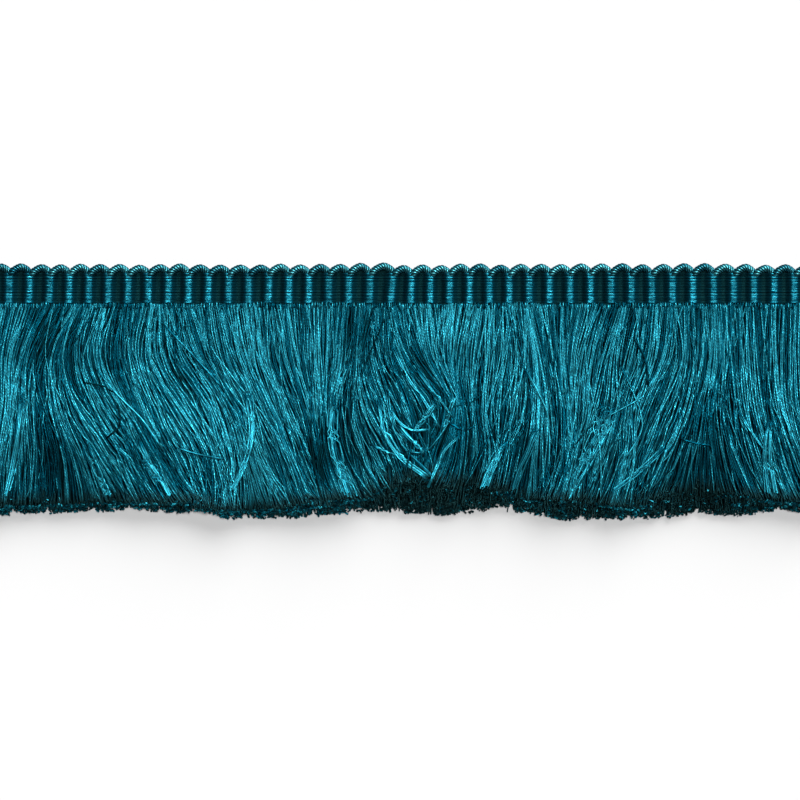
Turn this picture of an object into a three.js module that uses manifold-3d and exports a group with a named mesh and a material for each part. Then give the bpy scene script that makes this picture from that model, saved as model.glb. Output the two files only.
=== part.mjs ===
// A cut length of brush fringe trim, lying face up on a flat surface. Millimetres, +Z up.
// X runs along the trim, +Y points from the cut fringe to the scalloped edge, and +Z is the side that shows.
// The origin is on the back of the heading, under its middle rib, where the trim is sewn or glued down.
import * as THREE from "three";
import { mergeVertices } from "three/addons/utils/BufferGeometryUtils.js";
import Module from "manifold-3d";

const wasm = await Module();
wasm.setup();

// Heading: a narrow band woven over pairs of stiff cords, which stand up as ribs across it.
const RIB_PITCH = 4.0;
const RIB_COUNT = 43;
const LENGTH = RIB_PITCH * RIB_COUNT;
const HEADING_HEIGHT = 5.1;
const RIB_THICKNESS = 1.9;
const VALLEY_THICKNESS = 1.05;
const BACK_GROOVE_DEPTH = 0.4;
const BACK_LAND_SHARE = 0.55;
const RIB_PROFILE = [0.08, 0.24, 0.5, 0.76, 0.92];

// Scalloped edge: the same cord loops over from each rib to the next, in front at its left end and behind
// at its right. Its route is measured from the left rib's crest and the heading's upper edge.
const CORD_DIAMETER = 1.16;
const CORD_SIDES = 6;
const CORD_STEPS = 6;
const ARCH_ROUTE = [
  { along: 0.6, up: 0.85, front: 1.6 },
  { along: 1.0, up: 1.5, front: 1.5 },
  { along: 2.3, up: 2.02, front: 1.25 },
  { along: 3.6, up: 1.55, front: 0.95 },
  { along: 4.2, up: 0.85, front: 0.75 },
];

// Fringe: cut yarns in locks, three layers deep, bound at the top into a narrow strip under the heading.
const PART_GAP = 0.3;
const STRIP_HEIGHT = 1.8;
const STRIP_UNDERSIDE = 0.15;
const STRIP_TOP = 2.3;
const STRIP_ROUND = 0.35;
const ROOT_INSET = 0.9;
const LEAST_ROOM = 1.1;
const LOCK_SHARE = 0.42;
const WIDEST_LOCK = 2.1;
const UNEVEN = 0.12;
const RIDGE_LEAN = 0.35;
const FRINGE_TOP = -HEADING_HEIGHT / 2 - PART_GAP;

// Each layer: how many locks, how far they fall short of the cut line, how unevenly they are lifted,
// how much of the sweep they take, and how high their underside and their ridge stand
// at the root, halfway down and at the cut end. The lowest layer lies level on the surface.
const LAYERS = [
  {
    locks: 64,
    steps: 4,
    short: 0,
    lift: 0,
    sweep: 0.45,
    under: { root: 0, half: 0, end: 0 },
    ridge: { root: 0.65, half: 1.35, end: 1.3 },
  },
  {
    locks: 76,
    steps: 4,
    short: 1.6,
    lift: UNEVEN,
    sweep: 0.75,
    under: { root: 0.75, half: 1.75, end: 1.7 },
    ridge: { root: 1.2, half: 3.3, end: 3.0 },
  },
  {
    locks: 92,
    steps: 5,
    short: 3.6,
    lift: UNEVEN,
    sweep: 1.0,
    under: { root: 1.3, half: 3.75, end: 3.4 },
    ridge: { root: 1.8, half: 5.6, end: 4.9 },
  },
];

// The sweep of the top layer: a row for each fold, with the place of its root along the trim
// and how far it has drifted along X at a quarter, a half, three quarters and all of the way down.
const SWEEP = [
  { root: -86, quarter: -1, half: -1, most: -1.5, end: -2 },
  { root: -77, quarter: -2, half: -2, most: -3.5, end: -5 },
  { root: -72, quarter: -2.5, half: -4, most: -5, end: -6 },
  { root: -67.5, quarter: -4, half: -5, most: -4.5, end: -2 },
  { root: -63, quarter: -5, half: -5.5, most: -3, end: 1 },
  { root: -60, quarter: -2.5, half: 0, most: 5, end: 11 },
  { root: -55.5, quarter: -2, half: 1, most: 6.5, end: 13.5 },
  { root: -51, quarter: -1.5, half: 1.5, most: 6.5, end: 12.5 },
  { root: -46, quarter: 0.5, half: 6, most: 11, end: 14.5 },
  { root: -41.5, quarter: 2, half: 8.5, most: 12, end: 14 },
  { root: -34, quarter: 2, half: 7, most: 12, end: 17 },
  { root: -24.5, quarter: 1.5, half: 4.5, most: 8, end: 11.5 },
  { root: -20, quarter: 2, half: 5, most: 6.5, end: 10 },
  { root: -15, quarter: 1.5, half: 1.5, most: 2.5, end: 6.5 },
  { root: -10.5, quarter: -0.5, half: -2.5, most: -2, end: 2.5 },
  { root: -6, quarter: -1.5, half: -4, most: -3.5, end: 1.5 },
  { root: -1, quarter: 2, half: 8.5, most: 9.5, end: 8 },
  { root: 4, quarter: 4, half: 9.5, most: 10.5, end: 6 },
  { root: 8.5, quarter: 0.5, half: 4.5, most: 6, end: 1.5 },
  { root: 13, quarter: -1.5, half: 0, most: 1.5, end: -3.5 },
  { root: 18, quarter: -2, half: -3.5, most: -2.5, end: -7 },
  { root: 23, quarter: 0, half: -2, most: -2, end: -5.5 },
  { root: 27.5, quarter: 1.5, half: 2, most: 2.5, end: 2 },
  { root: 32, quarter: 0.5, half: 2, most: 3.5, end: 0 },
  { root: 37, quarter: -1, half: -1.5, most: -1, end: -4.5 },
  { root: 42, quarter: -2, half: -3.5, most: -5, end: -9.5 },
  { root: 46.5, quarter: -3, half: -4.5, most: -8.5, end: -13 },
  { root: 56, quarter: -1.5, half: -6, most: -9, end: -13 },
  { root: 63.5, quarter: -1, half: -3, most: -5, end: -7 },
  { root: 68, quarter: 0, half: -0.5, most: 2, end: 5.5 },
  { root: 73, quarter: 0, half: 1, most: 3, end: 8 },
  { root: 86, quarter: 0, half: 0.5, most: 1.5, end: 2 },
];

// The cut line: how far down the longest yarns reach, along the trim.
const CUT_LINE = [
  { at: -86, length: 41.4 },
  { at: -70, length: 40.9 },
  { at: -57, length: 40.4 },
  { at: -51, length: 39.8 },
  { at: -45, length: 41.0 },
  { at: -38, length: 40.0 },
  { at: -33, length: 41.8 },
  { at: -22, length: 41.8 },
  { at: -4, length: 40.5 },
  { at: 9, length: 41.2 },
  { at: 17, length: 40.6 },
  { at: 22, length: 39.4 },
  { at: 27, length: 41.0 },
  { at: 36, length: 42.2 },
  { at: 53, length: 41.9 },
  { at: 61, length: 40.7 },
  { at: 68, length: 41.7 },
  { at: 78, length: 40.3 },
  { at: 86, length: 40.9 },
];
const RAGGED = 0.7;

// A value read from a table: eased from row to row, so that neighbouring folds run into each other.
function between(rows, place, x, column) {
  const last = rows.length - 1;
  const found = rows.findIndex((row) => row[place] > x);
  const next = found < 0 ? last : Math.max(found, 1);
  const [low, high] = [rows[next - 1], rows[next]];
  const share = THREE.MathUtils.smoothstep(x, low[place], high[place]);
  return THREE.MathUtils.lerp(low[column], high[column], share);
}

// How far a yarn rooted at x has drifted sideways, a share t of the way down.
function driftAt(x, t) {
  const columns = ["quarter", "half", "most", "end"];
  const stations = [0, ...columns.map((column) => between(SWEEP, "root", x, column))];
  const place = Math.min(t, 0.9999) * columns.length;
  const step = Math.floor(place);
  const [from, to] = [stations[step], stations[step + 1]];
  return THREE.MathUtils.lerp(from, to, place - step);
}

// A smooth height down a lock, from its values at the root, halfway and at the end.
function heightAt(levels, t) {
  const rise = Math.sin(Math.min(t / 0.6, 1) * Math.PI * 0.5);
  const fall = THREE.MathUtils.smoothstep(t, 0.6, 1);
  const up = THREE.MathUtils.lerp(levels.root, levels.half, rise);
  return THREE.MathUtils.lerp(up, levels.end, fall);
}

// A repeatable scatter between -1 and 1.
function scatter(seed) {
  const wave = Math.sin(seed * 12.9898) * 43758.5453;
  return (wave - Math.floor(wave)) * 2 - 1;
}

function solid(geometry) {
  const bare = geometry.clone();
  bare.deleteAttribute("normal");
  bare.deleteAttribute("uv");
  const merged = mergeVertices(bare, 1e-4);
  const vertProperties = merged.attributes.position.array;
  const triVerts = new Uint32Array(merged.index.array);
  return new wasm.Manifold(new wasm.Mesh({ numProp: 3, vertProperties, triVerts }));
}

function geometryOf(manifold) {
  const mesh = manifold.getMesh();
  const geometry = new THREE.BufferGeometry();
  geometry.setAttribute("position", new THREE.BufferAttribute(mesh.vertProperties, 3));
  geometry.setIndex(new THREE.BufferAttribute(mesh.triVerts, 1));
  return geometry;
}

function fused(solids) {
  return solids.reduce((whole, piece) => whole.add(piece));
}

// The front of one rib, as points of the band's cross-section from valley to valley.
function ribFront(centre) {
  const relief = RIB_THICKNESS - VALLEY_THICKNESS;
  return RIB_PROFILE.map((share) => {
    const swell = Math.sqrt(Math.sin(Math.PI * share));
    return new THREE.Vector2(centre + (share - 0.5) * RIB_PITCH, VALLEY_THICKNESS + relief * swell);
  });
}

// The flat land at the back of a rib, and the groove beside it.
function ribBack(centre) {
  const land = (BACK_LAND_SHARE * RIB_PITCH) / 2;
  const groove = new THREE.Vector2(centre - RIB_PITCH / 2, BACK_GROOVE_DEPTH);
  return [new THREE.Vector2(centre + land, 0), new THREE.Vector2(centre - land, 0), groove];
}

// The band's cross-section runs along its front from the left end, and home along its back.
function heading() {
  const centres = Array.from({ length: RIB_COUNT }, (_, i) => (i - (RIB_COUNT - 1) / 2) * RIB_PITCH);
  const front = centres.flatMap((centre) => {
    const valley = new THREE.Vector2(centre - RIB_PITCH / 2, VALLEY_THICKNESS);
    return [valley, ...ribFront(centre)];
  });
  const rightEnd = [
    new THREE.Vector2(LENGTH / 2, VALLEY_THICKNESS),
    new THREE.Vector2(LENGTH / 2, BACK_GROOVE_DEPTH),
  ];
  const section = new THREE.Shape([...front, ...rightEnd, ...centres.toReversed().flatMap(ribBack)]);
  const band = new THREE.ExtrudeGeometry(section, { depth: HEADING_HEIGHT, bevelEnabled: false });
  band.rotateX(Math.PI / 2);
  band.translate(0, HEADING_HEIGHT / 2, 0);
  return band;
}

// A round cord laid along a route, with flat ends.
function cord(points, diameter) {
  const section = new THREE.Shape();
  for (let side = 0; side < CORD_SIDES; side++) {
    const turn = (side / CORD_SIDES) * 2 * Math.PI;
    const at = [(diameter / 2) * Math.cos(turn), (diameter / 2) * Math.sin(turn)];
    if (side === 0) section.moveTo(...at);
    else section.lineTo(...at);
  }
  const extrudePath = new THREE.CatmullRomCurve3(points);
  return new THREE.ExtrudeGeometry(section, { steps: CORD_STEPS, extrudePath, bevelEnabled: false });
}

// The loops run past both ends of the trim, and the cut goes straight through them.
function scallopCord() {
  const arches = [];
  for (let i = -1; i < RIB_COUNT; i++) {
    const crest = (i - (RIB_COUNT - 1) / 2) * RIB_PITCH;
    const route = ARCH_ROUTE.map(
      (p) => new THREE.Vector3(crest + p.along, HEADING_HEIGHT / 2 + p.up, p.front),
    );
    arches.push(solid(cord(route, CORD_DIAMETER)));
  }
  const keep = solid(new THREE.BoxGeometry(LENGTH, 4 * HEADING_HEIGHT, 4 * RIB_THICKNESS));
  return geometryOf(fused(arches).intersect(keep));
}

// The strip that binds the roots, with its upper edge rounded. The lowest locks stand just proud of its back.
function bindingStrip() {
  const section = new THREE.Shape([
    new THREE.Vector2(0, STRIP_UNDERSIDE),
    new THREE.Vector2(STRIP_HEIGHT, STRIP_UNDERSIDE),
    new THREE.Vector2(STRIP_HEIGHT, STRIP_TOP),
    new THREE.Vector2(STRIP_ROUND, STRIP_TOP),
    new THREE.Vector2(0, STRIP_TOP - STRIP_ROUND),
  ]);
  const [depthAxis, thicknessAxis, lengthAxis] = [[0, -1, 0], [0, 0, 1], [-1, 0, 0]].map(
    (direction) => new THREE.Vector3(...direction),
  );
  const strip = new THREE.ExtrudeGeometry(section, { depth: LENGTH, bevelEnabled: false });
  strip.applyMatrix4(new THREE.Matrix4().makeBasis(depthAxis, thicknessAxis, lengthAxis));
  strip.translate(LENGTH / 2, FRINGE_TOP, 0);
  return strip;
}

// Locks that would crowd each other are pushed apart until each has its room.
function keepApart(xs) {
  const placed = [...xs];
  for (let pass = 0; pass < 60; pass++) {
    for (let i = 1; i < placed.length; i++) {
      const lack = Math.max(0, LEAST_ROOM - (placed[i] - placed[i - 1]));
      placed[i - 1] -= lack / 2;
      placed[i] += lack / 2;
    }
  }
  return placed;
}

// One lock: a three-sided bundle with its flat side down, through a ring of three corners at each level.
function lock(rings) {
  const positions = rings.flat(2);
  const faces = [];
  for (let level = 0; level + 1 < rings.length; level++) {
    for (let side = 0; side < 3; side++) {
      const a = level * 3 + side;
      const b = level * 3 + ((side + 1) % 3);
      faces.push(a, b, a + 3, b, b + 3, a + 3);
    }
  }
  const last = (rings.length - 1) * 3;
  faces.push(0, 2, 1, last, last + 1, last + 2);
  const geometry = new THREE.BufferGeometry();
  geometry.setAttribute("position", new THREE.Float32BufferAttribute(positions, 3));
  geometry.setIndex(faces);
  return geometry;
}

function locksOf(layer, layerNumber) {
  const span = LENGTH - RIB_PITCH / 2;
  const roots = Array.from({ length: layer.locks }, (_, i) => ((i + 0.5) / layer.locks - 0.5) * span);
  const shares = Array.from({ length: layer.steps + 1 }, (_, k) => k / layer.steps);
  const rows = shares.map((t) => keepApart(roots.map((x) => x + layer.sweep * driftAt(x, t))));
  return roots.map((root, i) => {
    const seed = layerNumber * 1000 + i;
    const length = between(CUT_LINE, "at", rows.at(-1)[i], "length") - layer.short + RAGGED * scatter(seed);
    const lift = layer.lift * scatter(seed + 0.25);
    const rings = shares.map((t, k) => {
      const row = rows[k];
      const left = i > 0 ? row[i] - row[i - 1] : row[1] - row[0];
      const right = i + 1 < row.length ? row[i + 1] - row[i] : left;
      const half = Math.min(LOCK_SHARE * Math.min(left, right), WIDEST_LOCK / 2);
      const y = FRINGE_TOP - ROOT_INSET - t * (length - ROOT_INSET);
      const [low, high] = [layer.under, layer.ridge].map((levels) => heightAt(levels, t) + lift);
      const tilt = 0.5 * layer.lift * scatter(seed + 0.75 + k);
      const lean = RIDGE_LEAN * half * scatter(seed + 0.5);
      return [
        [row[i] - half, y, low - tilt],
        [row[i] + half, y, low + tilt],
        [row[i] + lean, y, high],
      ];
    });
    return lock(rings);
  });
}

function fringe() {
  const locks = LAYERS.flatMap((layer, number) => locksOf(layer, number + 1));
  return geometryOf(fused([bindingStrip(), ...locks].map(solid)));
}

function finish(color, roughness) {
  return new THREE.MeshStandardMaterial({ color, roughness, metalness: 0 });
}

function piece(name, geometry, material) {
  const mesh = new THREE.Mesh(geometry, material);
  mesh.name = name;
  return mesh;
}

const trim = new THREE.Group();
trim.add(piece("heading", heading(), finish(0x0e4a55, 0.45)));
trim.add(piece("scallop_cord", scallopCord(), finish(0x2a7f8c, 0.4)));
trim.add(piece("fringe", fringe(), finish(0x13707f, 0.4)));

export default trim;
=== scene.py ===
# %% [markdown]
# A cut length of brush fringe trim, lying face up on a pale table. A narrow ribbed heading carries a looped
# cord along its upper edge and a thick brush of silky yarn below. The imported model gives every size, and
# each piece of this lesson is made round it in metres.

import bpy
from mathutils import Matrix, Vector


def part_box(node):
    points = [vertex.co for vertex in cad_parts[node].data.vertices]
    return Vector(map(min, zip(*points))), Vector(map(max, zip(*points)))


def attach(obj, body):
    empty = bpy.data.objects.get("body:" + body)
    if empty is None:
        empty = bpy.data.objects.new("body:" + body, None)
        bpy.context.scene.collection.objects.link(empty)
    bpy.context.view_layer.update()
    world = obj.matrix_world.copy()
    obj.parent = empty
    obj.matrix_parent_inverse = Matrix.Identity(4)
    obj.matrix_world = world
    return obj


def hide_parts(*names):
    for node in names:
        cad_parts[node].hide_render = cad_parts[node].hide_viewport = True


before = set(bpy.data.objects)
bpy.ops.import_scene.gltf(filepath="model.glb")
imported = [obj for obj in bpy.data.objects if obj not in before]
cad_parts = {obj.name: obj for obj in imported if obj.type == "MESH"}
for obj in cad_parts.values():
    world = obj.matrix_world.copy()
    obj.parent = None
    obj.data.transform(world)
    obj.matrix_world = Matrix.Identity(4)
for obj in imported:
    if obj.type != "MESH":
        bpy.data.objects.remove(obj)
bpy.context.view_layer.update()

import math
from types import SimpleNamespace

import bpy
import numpy as np
from mathutils import Vector
from mathutils.bvhtree import BVHTree

MM = 0.001
RIB_COUNT = 43
heading_low, heading_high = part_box("heading")
cord_low, cord_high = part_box("scallop_cord")
fringe_low, fringe_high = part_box("fringe")
LENGTH = heading_high[0] - heading_low[0]
RIB_PITCH = LENGTH / RIB_COUNT
HEADING_TOP = heading_high[1]
HEADING_FOOT = heading_low[1]
RIB_CREST = heading_high[2]
FRINGE_TOP = fringe_high[1]
print(f"trim {LENGTH / MM:.1f} mm long, rib pitch {RIB_PITCH / MM:.2f} mm")
print(f"looped cord from y {cord_low[1] / MM:.2f} to {cord_high[1] / MM:.2f} mm")
print(f"fringe from y {fringe_low[1] / MM:.2f} to {FRINGE_TOP / MM:.2f} mm")

# %% [markdown]
# The camera looks straight down on the trim, as in the photograph, through a long lens, so nothing looks
# splayed. The rib pitch is the scale: the photograph shows a rib every 20.21 pixels. Two more places tie
# the view down, the middle rib and the line where the fringe starts.

# %% Camera
PHOTO_SIDE_PX = 800
RIB_PITCH_PX = 20.21
MIDDLE_RIB_PX = 390.9
FRINGE_TOP_PX = 304.5
LENS_MM = 200
SENSOR_MM = 36
VIEWED_HEIGHT = 3.5 * MM
PX = RIB_PITCH / RIB_PITCH_PX


def place_of(px_x, px_y):
    """The place on the table, in metres, that shows at a pixel of the photograph."""
    return (px_x - MIDDLE_RIB_PX) * PX, FRINGE_TOP - (px_y - FRINGE_TOP_PX) * PX


view_x, view_y = place_of(PHOTO_SIDE_PX / 2, PHOTO_SIDE_PX / 2)
camera_data = bpy.data.cameras.new("camera")
camera_data.lens = LENS_MM
camera_data.sensor_width = SENSOR_MM
camera = bpy.data.objects.new("camera", camera_data)
camera.location = (view_x, view_y, VIEWED_HEIGHT + PHOTO_SIDE_PX * PX * LENS_MM / SENSOR_MM)
bpy.context.scene.collection.objects.link(camera)
bpy.context.scene.camera = camera
print(f"camera {camera.location.z:.3f} m above the table, {PHOTO_SIDE_PX * PX / MM:.1f} mm wide view")

# %% [markdown]
# The light is a soft studio light from above the upper right of the picture, a firmer one overhead and a
# faint sky. Silk shines where its threads lie square to the light, so the key light's slant sets which part
# of the fringe glows. The table is white and bright enough to read as plain paper, with one soft shadow
# below the cut ends.

# %% Lights and table
KEY_LIGHT = {"strength": 3.95, "tilt_deg": 60, "from_right_deg": 25, "spread_deg": 50}
TOP_LIGHT = {"strength": 2.2, "tilt_deg": 6, "from_right_deg": 30, "spread_deg": 14}
SKY_STRENGTH = 0.05
TABLE_SIDE = 3.0
TABLE_WHITE = (0.735, 0.735, 0.735, 1)
TABLE_ROUGHNESS = 0.9
TABLE_GLOSS = 0.1


def sun(name, strength, tilt_deg, from_right_deg, spread_deg):
    """A soft light from the top of the picture, turned somewhat to its right."""
    data = bpy.data.lights.new(name, "SUN")
    data.energy = strength
    data.angle = math.radians(spread_deg)
    lamp = bpy.data.objects.new(name, data)
    lamp.rotation_euler = (-math.radians(tilt_deg), 0, -math.radians(from_right_deg))
    bpy.context.scene.collection.objects.link(lamp)


def plain_object(name, mesh):
    made = bpy.data.objects.new(name, mesh)
    bpy.context.scene.collection.objects.link(made)
    return made


def new_finish(name):
    """A new material, and the shader that it starts with."""
    material = bpy.data.materials.new(name)
    material.use_nodes = True
    return material, material.node_tree.nodes["Principled BSDF"]


def table_top():
    """A plain white table under the trim."""
    half = TABLE_SIDE / 2
    mesh = bpy.data.meshes.new("table")
    corners = [(-half, -half, 0), (half, -half, 0), (half, half, 0), (-half, half, 0)]
    mesh.from_pydata(corners, [], [(0, 1, 2, 3)])
    material, shader = new_finish("white_table")
    shader.inputs["Base Color"].default_value = TABLE_WHITE
    shader.inputs["Roughness"].default_value = TABLE_ROUGHNESS
    shader.inputs["Specular IOR Level"].default_value = TABLE_GLOSS
    mesh.materials.append(material)
    plain_object("table", mesh)


sun("key_light", **KEY_LIGHT)
sun("top_light", **TOP_LIGHT)
world = bpy.data.worlds.new("studio")
world.use_nodes = True
world.node_tree.nodes["Background"].inputs["Strength"].default_value = SKY_STRENGTH
world.node_tree.nodes["Background"].inputs["Color"].default_value = (1, 1, 1, 1)
bpy.context.scene.world = world
bpy.context.scene.view_settings.view_transform = "Standard"
table_top()
print(f"lights: key {KEY_LIGHT['strength']} W/m2, top {TOP_LIGHT['strength']} W/m2, sky {SKY_STRENGTH}")

# %% [markdown]
# Every tree of nodes below is written with one small helper. It adds nodes and joins their sockets, and a
# sum that is written with its values turns into math nodes, so that a tree reads from top to bottom like
# the recipe that it is.


# %% A helper for node trees
def title(label):
    """The name of a socket as Blender shows it."""
    return label.replace("_", " ").title()


def arithmetic(operation, swapped=False):
    """The method that turns one sign of arithmetic into a math node."""

    def write(self, other):
        pair = (other, self) if swapped else (self, other)
        return self.recipe.math(operation, *pair)

    return write


class Value:
    """What a socket gives out. Values can be added, subtracted, multiplied and divided."""

    def __init__(self, recipe, socket):
        self.recipe = recipe
        self.socket = socket

    __add__ = __radd__ = arithmetic("ADD")
    __mul__ = __rmul__ = arithmetic("MULTIPLY")
    __sub__ = arithmetic("SUBTRACT")
    __rsub__ = arithmetic("SUBTRACT", swapped=True)
    __truediv__ = arithmetic("DIVIDE")


class Recipe:
    """A tree of nodes that is being written: a new group, or the tree of a material."""

    def __init__(self, name=None, kind=None, inputs=(), outputs=(), tree=None):
        self.tree = tree or bpy.data.node_groups.new(name, kind)
        for label, socket_type, default in inputs:
            socket = self.tree.interface.new_socket(title(label), in_out="INPUT", socket_type=socket_type)
            if default is not None:
                socket.default_value = default
        for label, socket_type in outputs:
            self.tree.interface.new_socket(title(label), in_out="OUTPUT", socket_type=socket_type)
        if tree is None:
            entry = self.tree.nodes.new("NodeGroupInput").outputs
            self.given = SimpleNamespace(**{label: Value(self, entry[title(label)]) for label, *_ in inputs})
            self.result = self.tree.nodes.new("NodeGroupOutput").inputs

    def join(self, value, socket):
        if isinstance(value, Value):
            self.tree.links.new(value.socket, socket)
        else:
            socket.default_value = value

    def add(self, kind, inputs=None, **settings):
        node = self.tree.nodes.new(kind)
        for key, value in settings.items():
            setattr(node, key, value)
        for key, value in (inputs or {}).items():
            self.join(value, node.inputs[key])
        return node

    def get(self, kind, inputs=None, output=0, **settings):
        """Adds a node and gives one of its outputs."""
        return Value(self, self.add(kind, inputs, **settings).outputs[output])

    def math(self, operation, *values):
        return self.get("ShaderNodeMath", dict(enumerate(values)), operation=operation)

    def within(self, value, low, high):
        return self.math("MINIMUM", self.math("MAXIMUM", value, low), high)

    def ease(self, value, low, high, out_low=0.0, out_high=1.0):
        """A smooth step from out_low to out_high as value goes from low to high."""
        numbers = dict(enumerate((value, low, high, out_low, out_high)))
        return self.get("ShaderNodeMapRange", numbers, interpolation_type="SMOOTHSTEP")

    def blend(self, share, a, b, kind="FLOAT"):
        """Between a and b by share. Kind is FLOAT, VECTOR or RGBA."""
        first, output = {"FLOAT": (2, 0), "VECTOR": (4, 1), "RGBA": (6, 2)}[kind]
        return self.get("ShaderNodeMix", {0: share, first: a, first + 1: b}, output, data_type=kind)

    def vector(self, x, y, z):
        return self.get("ShaderNodeCombineXYZ", {0: x, 1: y, 2: z})

    def parts(self, vector):
        """The x, y and z of a vector."""
        return [Value(self, socket) for socket in self.add("ShaderNodeSeparateXYZ", {0: vector}).outputs]

    def chance(self, item, draw, low=0.0, high=1.0):
        """A random number for each item, with a seed of its own for each draw."""
        inputs = {2: low, 3: high, "ID": item, "Seed": self.given.seed + draw}
        return self.get("FunctionNodeRandomValue", inputs, 1, data_type="FLOAT")

    def noise(self, x, y):
        """A smooth number from about -1 to 1 that wanders with x and y, over about one unit of each."""
        inputs = {"Vector": self.vector(x, y, 0.0), "Scale": 1.0, "Detail": 1.0}
        return (self.get("ShaderNodeTexNoise", inputs) - 0.5) * 3.0

    def here(self):
        return self.get("GeometryNodeInputPosition")

    def stored(self, name, kind="FLOAT"):
        """A value that the points carry under a name."""
        return self.get("GeometryNodeInputNamedAttribute", {"Name": name}, data_type=kind)

    def keep(self, geometry, name, value, kind="FLOAT"):
        """Stores a value on the points, for a later step or a material to read."""
        inputs = {"Geometry": geometry, "Name": name, "Value": value}
        return self.get("GeometryNodeStoreNamedAttribute", inputs, data_type=kind, domain="POINT")

    def on_curve(self, output):
        """How far along its curve a point lies: a Length in metres, or a Factor from 0 to 1."""
        return self.get("GeometryNodeSplineParameter", output=output)

    def smooth_route(self, steps):
        """The charted route of the start mesh as a smooth curve of evenly spaced points."""
        route = self.get("GeometryNodeMeshToCurve", {"Mesh": self.given.geometry})
        smooth = self.get("GeometryNodeCurveSplineType", {"Curve": route}, spline_type="CATMULL_ROM")
        return self.get("GeometryNodeResampleCurve", {"Curve": smooth, "Count": steps})

    def copies(self, curve, amount):
        """Repeats a curve. Gives the copies, and the number of each."""
        inputs = {"Geometry": curve, "Amount": amount}
        node = self.add("GeometryNodeDuplicateElements", inputs, domain="SPLINE")
        return Value(self, node.outputs[0]), Value(self, node.outputs["Duplicate Index"])

    def move(self, geometry, place):
        return self.get("GeometryNodeSetPosition", {"Geometry": geometry, "Position": place})

    def circle(self, sides):
        """A ring to draw along a curve. It keeps the place of each point round it, for the silk to read."""
        ring = self.get("GeometryNodeCurvePrimitiveCircle", {"Resolution": sides, "Radius": 1.0})
        return self.keep(ring, "around", self.here(), "FLOAT_VECTOR")

    def sweep(self, curve, ring, radius):
        """Draws a ring along each curve and closes its ends."""
        inputs = {"Curve": curve, "Profile Curve": ring, "Scale": radius, "Fill Caps": True}
        return self.get("GeometryNodeCurveToMesh", inputs)

    def finish(self, geometry):
        smooth = self.get("GeometryNodeSetShadeSmooth", {"Geometry": geometry})
        real = self.get("GeometryNodeRealizeInstances", {"Geometry": smooth})
        done = self.get("GeometryNodeSetMaterial", {"Geometry": real, "Material": self.given.material})
        self.join(done, self.result["Geometry"])

    def spin(self, curve, radius, sides):
        """Gives each curve a smooth body of a few sides, as the last step of a recipe."""
        self.finish(self.sweep(curve, self.circle(sides), radius))


def geometry_recipe(name, whole, real):
    """A geometry tree that takes a start mesh, the whole and real numbers named, a seed and a material."""
    inputs = [("geometry", "NodeSocketGeometry", None), ("material", "NodeSocketMaterial", None)]
    inputs += [(label, "NodeSocketInt", None) for label in ["seed", *whole.split()]]
    inputs += [(label, "NodeSocketFloat", None) for label in real.split()]
    return Recipe(name, "GeometryNodeTree", inputs, [("geometry", "NodeSocketGeometry")])


def made_by(name, recipe, start_mesh, **values):
    """Runs a geometry recipe on a mesh, keeps the result as a plain mesh, and prints its size."""
    holder = plain_object(name + "_start", start_mesh)
    modifier = holder.modifiers.new(name, "NODES")
    modifier.node_group = recipe.tree
    items = recipe.tree.interface.items_tree
    sockets = {item.name: item.identifier for item in items if item.in_out == "INPUT"}
    for label, value in values.items():
        modifier[sockets[title(label)]] = value
    graph = bpy.context.evaluated_depsgraph_get()
    mesh = bpy.data.meshes.new_from_object(holder.evaluated_get(graph), depsgraph=graph)
    mesh.name = name
    bpy.data.objects.remove(holder)
    mesh.calc_loop_triangles()
    print(f"{name}: {len(mesh.loop_triangles)} triangles")
    return plain_object(name, mesh)


print("helpers for node trees:", Recipe.__name__, Value.__name__, made_by.__name__)

# %% [markdown]
# All the silk in the trim is one dyed thread: near black where it turns from the light, bright along its
# crest. One shader group colours it. It reads values that the geometry stored: the thread's tone, which in
# several pieces also carries painted highlight and painted shade, the distance along it and the place around
# it. It adds fine filaments along the thread and the slanting grooves of its twist, which give relief and
# also darken the colour, so the grooves take a painted shade. The shine is a tinted reflection, so most of
# the colour is set by a high metallic share over a coloured base.

# %% Silk thread, the shared finish
DEEP_TEAL = (0.0006, 0.016, 0.022, 1)
TEAL = (0.0004, 0.106, 0.172, 1)
BRIGHT_TEAL = (0.05, 0.6, 0.78, 1)
VALLEY_SHADE_TEAL = (0.003, 0.022, 0.026, 1)
CORD_TEAL = (0.14, 0.7, 0.8, 1)
# the cut-end colour: partly the dull cut fibres, partly a painted shade for the cut face turned from the
# light
CUT_END_DULL_AND_SHADED = (0.008, 0.028, 0.03, 1)
SILK_TINT = (0.08, 0.85, 1.0, 1)
GRAIN_PER_MM = 0.8
THREAD_RELIEF = 0.03 * MM
FULL_TURN = 2 * math.pi


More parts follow.
